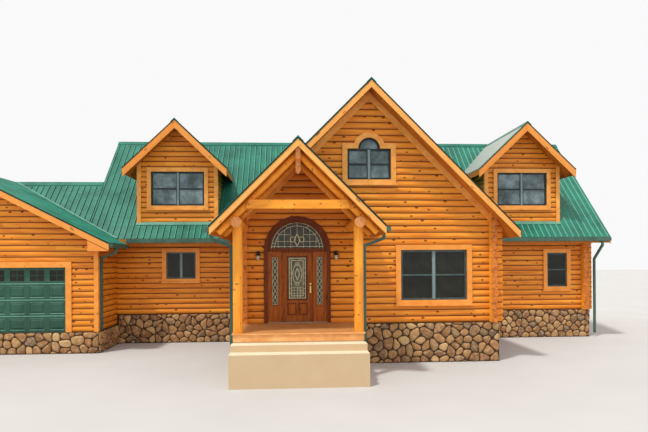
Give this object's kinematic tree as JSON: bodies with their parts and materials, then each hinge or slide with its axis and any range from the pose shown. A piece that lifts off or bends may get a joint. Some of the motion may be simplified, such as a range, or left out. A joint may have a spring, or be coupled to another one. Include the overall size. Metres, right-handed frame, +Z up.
{
  "type": "log cabin",
  "caption": "Log cabin with a steep gabled front room, a log porch, gabled dormers, an attached garage and a ribbed metal roof on a fieldstone base.",
  "frame": {"origin": "lowest ground level, under the middle of the entrance doorway, in the plane of the front room's wall", "axes": "+X to the right along the facade, +Y away from the viewer into the building, +Z up"},
  "size_m": [27.993, 16.115, 8.221],
  "materials": {
    "fieldstone": "rough rounded fieldstone with dark joints",
    "concrete": "brushed cream concrete",
    "floor_boards": "oiled boards",
    "log_wood": "honey stained logs, satin",
    "trim_wood": "pale honey stained boards, satin",
    "soffit_wood": "stained boards, satin",
    "roofing_green": "teal green ribbed sheet, semi-gloss",
    "gutter_green": "dark green, semi-gloss",
    "door_green": "dark green paint, satin",
    "entrance_wood": "mahogany stain, satin",
    "sash_paint": "dark grey-green, satin",
    "clear_glass": "clear, darkened by the rooms behind",
    "leaded_glass": "bevelled panes between lead strips",
    "handle_brass": "polished",
    "lantern_metal": "black, satin"
  },
  "bodies": {
    "cabin": {"back_wall": "log_wood", "corner_logs": "log_wood", "dormer_front_walls": "log_wood", "dormer_roof_decks": "soffit_wood", "dormer_side_walls": "log_wood", "downspouts": "gutter_green", "end_walls": "log_wood", "entrance_wall_left": "log_wood", "entrance_wall_over": "log_wood", "entrance_wall_right": "log_wood", "entry_casing": "entrance_wood", "entry_glass": "leaded_glass", "entry_side_frames": "entrance_wood", "entry_transom": "entrance_wood", "foundation_back_walls": "fieldstone", "foundation_front_walls": "fieldstone", "foundation_side_walls": "fieldstone", "front_roof_deck": "soffit_wood", "front_room_side_walls": "log_wood", "garage_back_wall": "log_wood", "garage_door_glass": "clear_glass", "garage_doors": "door_green", "garage_front_wall": "log_wood", "garage_roof_deck": "soffit_wood", "garage_side_walls": "log_wood", "garage_slab": "concrete", "garage_trim_boards": "trim_wood", "gutters": "gutter_green", "hinge_frame_leaves": "handle_brass", "house_back_slope_deck": "soffit_wood", "house_eave_decks": "soffit_wood", "house_left_slope_deck": "soffit_wood", "house_right_slope_deck": "soffit_wood", "lantern_glass": "leaded_glass", "left_rake_boards": "trim_wood", "lower_step": "concrete", "main_floor": "floor_boards", "metal_roofing": "roofing_green", "porch_base": "concrete", "porch_collar_beam": "log_wood", "porch_deck": "floor_boards", "porch_lanterns": "lantern_metal", "porch_plates": "log_wood", "porch_posts": "log_wood", "porch_rafters": "log_wood", "porch_ridge_beam": "log_wood", "porch_roof_deck": "soffit_wood", "right_rake_boards": "trim_wood", "threshold": "entrance_wood", "upper_floor": "floor_boards", "upper_step": "concrete", "window_casings": "trim_wood", "window_glass": "clear_glass", "window_sashes": "sash_paint", "wing_front_walls": "log_wood"},
    "entrance_door": {"door_slab": "entrance_wood", "door_glass": "leaded_glass", "door_handle": "handle_brass", "hinge_door_leaves": "handle_brass"}
  },
  "joints": [
    {"name": "entrance_door_hinge", "type": "hinge", "parent": "cabin", "child": "entrance_door", "pos_m": [-0.455, 0.152, 2.25], "axis": [0, 0, 1], "range_deg": [0, 95]}
  ]
}
